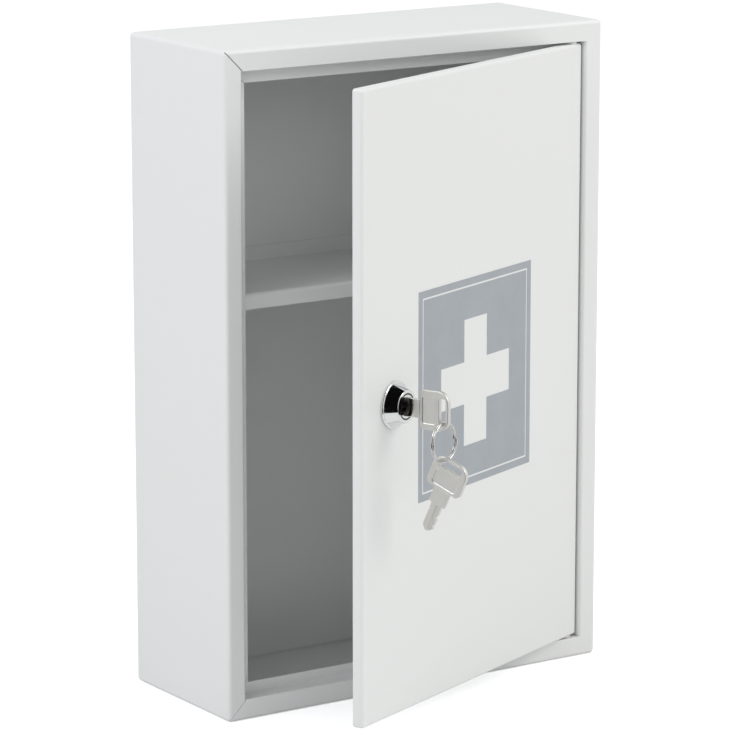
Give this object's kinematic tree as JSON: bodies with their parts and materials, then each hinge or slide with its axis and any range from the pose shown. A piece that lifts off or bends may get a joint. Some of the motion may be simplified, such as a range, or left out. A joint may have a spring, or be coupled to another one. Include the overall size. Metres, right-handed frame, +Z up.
{
  "type": "wall medicine cabinet",
  "caption": "White folded steel medicine cabinet with a hinged pan door, printed cross, cam lock with keys on a split ring, and a fixed shelf.",
  "frame": {"origin": "centre of the cabinet body's base, midway between its left and right walls and between its front frame and its back", "axes": "+Z up, -Y out of the front, +X to the hinged side as seen from the front"},
  "size_m": [0.216, 0.186, 0.32],
  "materials": {
    "white_powder_coat": "satin powder coat",
    "emblem_ink": "flat grey printing ink",
    "chrome": "polished chrome plate",
    "nickel": "satin nickel plate",
    "zinc_steel": "bright zinc plate",
    "brass": "plain brass",
    "white_nylon": "moulded nylon",
    "black_rubber": "soft rubber"
  },
  "bodies": {
    "cabinet": {"body_wrap": "white_powder_coat", "back_panel": "white_powder_coat", "shelf": "white_powder_coat", "upper_hinge_pin": "zinc_steel", "lower_hinge_pin": "zinc_steel"},
    "door": {"door_panel": "white_powder_coat", "upper_hinge_bracket": "white_powder_coat", "lower_hinge_bracket": "white_powder_coat", "hinge_bushes": "white_nylon", "door_bumpers": "black_rubber", "emblem_print": "emblem_ink", "lock_housing": "chrome", "lock_washer": "zinc_steel", "lock_nut": "zinc_steel"},
    "plug_and_cam": {"lock_plug": "chrome", "lock_wafers": "brass", "cam_stop_washer": "zinc_steel", "lock_cam": "zinc_steel", "cam_washer": "zinc_steel", "cam_screw": "zinc_steel"},
    "key": {"key_in_lock": "nickel"},
    "ring": {"key_ring": "nickel"},
    "hanging_key": {"spare_key": "nickel"}
  },
  "joints": [
    {"name": "door_hinge", "type": "hinge", "parent": "cabinet", "child": "door", "pos_m": [0.0918, -0.0397, 0.16], "axis": [0, 0, 1], "range_deg": [-23, 87]},
    {"name": "lock_turn", "type": "hinge", "parent": "door", "child": "plug_and_cam", "pos_m": [-0.05659, -0.10627, 0.16], "axis": [-0.3907, 0.9205, 0], "range_deg": [0, 90]},
    {"name": "key_pull", "type": "slide", "parent": "plug_and_cam", "child": "key", "axis": [0.3907, -0.9205, 0], "range_m": [0, 0.02]},
    {"name": "ring_swing", "type": "hinge", "parent": "key", "child": "ring", "pos_m": [-0.04607, -0.13103, 0.15498], "axis": [-0.9336, -0.3584, 0], "range_deg": [-8, 35]},
    {"name": "spare_key_swing", "type": "hinge", "parent": "ring", "child": "hanging_key", "pos_m": [-0.0459, -0.13149, 0.13673], "axis": [-0.9063, -0.4226, 0], "range_deg": [-12, 12]}
  ]
}
